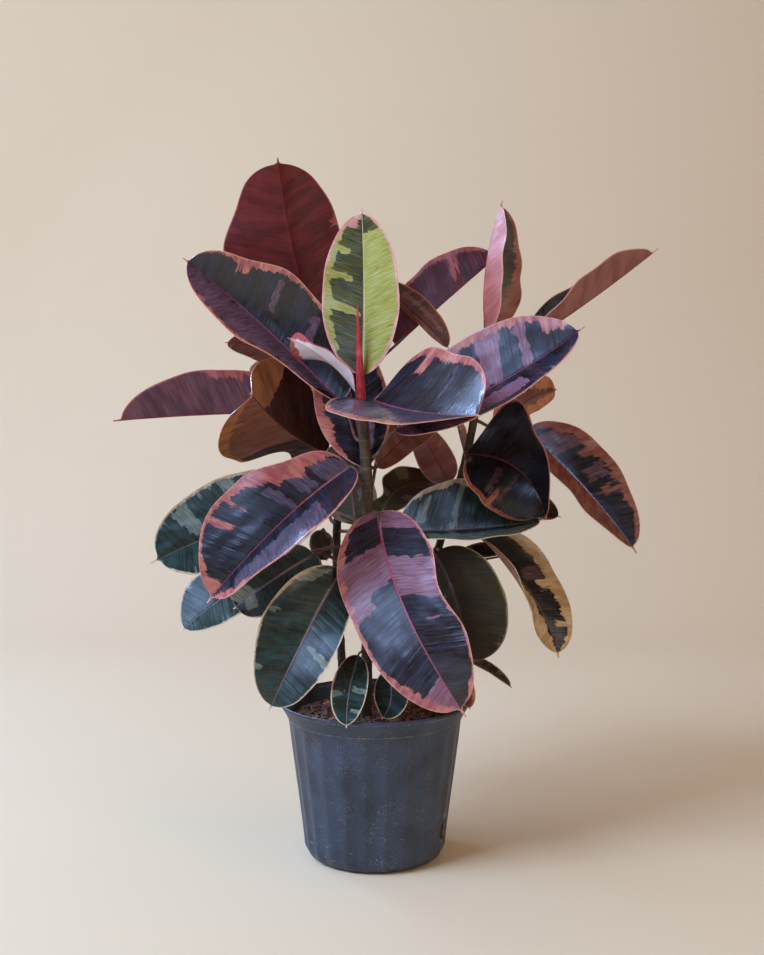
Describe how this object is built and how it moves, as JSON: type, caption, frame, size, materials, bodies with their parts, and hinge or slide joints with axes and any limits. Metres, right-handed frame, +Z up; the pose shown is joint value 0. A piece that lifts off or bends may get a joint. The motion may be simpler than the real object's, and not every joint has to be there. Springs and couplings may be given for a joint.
{
  "type": "potted ruby rubber plant",
  "caption": "Bushy rubber plant with variegated glossy leaves on woody stems, standing in soil in a fluted plastic nursery pot.",
  "frame": {"origin": "centre of the pot's flat bottom", "axes": "+Z up, +X to the plant's right and +Y to its back as seen from the front"},
  "size_m": [0.7465, 0.486, 0.936],
  "materials": {
    "pot": "satin",
    "soil": "matte",
    "stem": "matte",
    "sheath": "satin",
    "leaf_ruby": "gloss",
    "leaf_young": "gloss",
    "leaf_green": "gloss",
    "leaf_maroon": "satin"
  },
  "bodies": {
    "root": {"pot": "pot", "soil": "soil", "stem_main": "stem", "stem_right": "stem", "stem_back": "stem", "sheath": "sheath", "leaf_young_upright": "leaf_young", "leaf_young_folded": "leaf_young", "leaf_top_front_right": "leaf_ruby", "leaf_top_left": "leaf_ruby", "leaf_top_right": "leaf_ruby", "leaf_top_behind_stem": "leaf_ruby", "leaf_top_right_under": "leaf_maroon", "leaf_top_back_left": "leaf_maroon", "leaf_left_cupped": "leaf_maroon", "leaf_far_left": "leaf_maroon", "leaf_left_small": "leaf_maroon", "leaf_top_back_right": "leaf_maroon", "leaf_top_back_hanging": "leaf_maroon", "leaf_right_upright": "leaf_ruby", "leaf_far_right": "leaf_ruby", "leaf_right_back": "leaf_maroon", "leaf_right_cupped": "leaf_ruby", "leaf_right_drooping": "leaf_ruby", "leaf_mid_back_right": "leaf_maroon", "leaf_right_stem_small": "leaf_maroon", "leaf_mid_right_back": "leaf_green", "leaf_low_right_drooping": "leaf_ruby", "leaf_low_right_hanging": "leaf_green", "leaf_low_right_small": "leaf_green", "leaf_low_right_narrow": "leaf_green", "leaf_low_right_sliver": "leaf_green", "leaf_mid_left": "leaf_ruby", "leaf_mid_left_back": "leaf_green", "leaf_low_left_outer": "leaf_green", "leaf_low_left_inner": "leaf_green", "leaf_low_left_front": "leaf_green", "leaf_front_large": "leaf_ruby", "leaf_mid_right": "leaf_green", "leaf_mid_back_olive": "leaf_green", "leaf_low_front_small": "leaf_green", "leaf_low_front_hanging": "leaf_green", "leaf_mid_behind_stem": "leaf_green", "leaf_low_back_hanging": "leaf_green", "leaf_low_back_small": "leaf_green", "leaf_back_top": "leaf_maroon", "leaf_back_top_right": "leaf_ruby", "leaf_back_top_left": "leaf_ruby", "leaf_back_middle": "leaf_ruby", "leaf_back_right": "leaf_green", "leaf_back_left": "leaf_green", "leaf_back_low": "leaf_green", "leaf_back_low_left": "leaf_green", "leaf_back_low_right": "leaf_green"}
  },
  "joints": []
}
